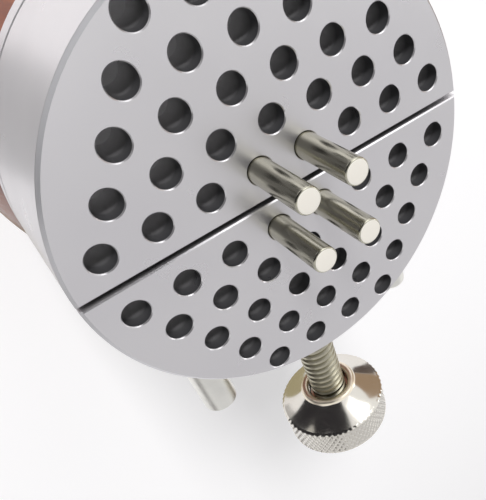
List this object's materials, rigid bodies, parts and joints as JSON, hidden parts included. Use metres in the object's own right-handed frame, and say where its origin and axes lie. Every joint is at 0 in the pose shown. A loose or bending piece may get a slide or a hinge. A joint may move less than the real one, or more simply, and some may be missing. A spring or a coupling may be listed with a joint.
{
  "type": "hand vise",
  "caption": "Hand-held vise with a round split head: two half-round jaws with peg holes, opened and closed by a side screw with a knurled knob, on a turned wooden handle.",
  "frame": {"origin": "middle of the handle's flat foot", "axes": "+Z along the handle towards the jaws' face, X along the split, the knob points to -Y"},
  "size_m": [0.056, 0.0825, 0.1125],
  "materials": {
    "satin_aluminium": "satin, fine turned and anodised",
    "nickel_steel": "bright nickel on steel",
    "nickel_plate": "bright nickel plate, knurled rim",
    "plain_steel": "dark plain steel",
    "brass": "turned",
    "lacquered_wood": "reddish-brown, lacquered"
  },
  "bodies": {
    "head_and_handle": {"handle": "lacquered_wood", "handle_stud": "plain_steel", "handle_insert": "brass", "base_disc": "satin_aluminium", "fixed_jaw": "satin_aluminium", "jaw_screw_near_left": "plain_steel", "jaw_screw_near_right": "plain_steel", "jaw_screw_far_left": "plain_steel", "jaw_screw_far_right": "plain_steel"},
    "sliding_jaw": {"moving_jaw": "satin_aluminium", "guide_rod_left": "nickel_steel", "guide_rod_right": "nickel_steel", "keep_pin_left": "plain_steel", "keep_pin_right": "plain_steel", "set_screw_left": "plain_steel", "set_screw_right": "plain_steel", "thrust_pad": "brass"},
    "screw_and_knob": {"clamp_screw": "nickel_steel", "knob": "nickel_plate"},
    "peg_upper_left_body": {"peg_upper_left": "nickel_steel"},
    "peg_upper_right_body": {"peg_upper_right": "nickel_steel"},
    "peg_lower_left_body": {"peg_lower_left": "nickel_steel"},
    "peg_lower_right_body": {"peg_lower_right": "nickel_steel"}
  },
  "joints": [
    {"name": "screw_turn", "type": "hinge", "parent": "sliding_jaw", "child": "screw_and_knob", "pos_m": [0, 0, 0.0932], "axis": [0, 1, 0], "range_deg": [0, 5184]},
    {"name": "jaw_slide", "type": "slide", "parent": "head_and_handle", "child": "sliding_jaw", "axis": [0, 1, 0], "range_m": [0, 0.018]},
    {"name": "peg_upper_left_pull", "type": "slide", "parent": "sliding_jaw", "child": "peg_upper_left_body", "axis": [0, 0, 1], "range_m": [0, 0.0054]},
    {"name": "peg_upper_right_pull", "type": "slide", "parent": "sliding_jaw", "child": "peg_upper_right_body", "axis": [0, 0, 1], "range_m": [0, 0.0054]},
    {"name": "peg_lower_left_pull", "type": "slide", "parent": "head_and_handle", "child": "peg_lower_left_body", "axis": [0, 0, 1], "range_m": [0, 0.0054]},
    {"name": "peg_lower_right_pull", "type": "slide", "parent": "head_and_handle", "child": "peg_lower_right_body", "axis": [0, 0, 1], "range_m": [0, 0.0054]}
  ],
  "couplings": [
    {"joint": "screw_turn", "follows": "jaw_slide", "rad_per_m": 5026.5}
  ]
}
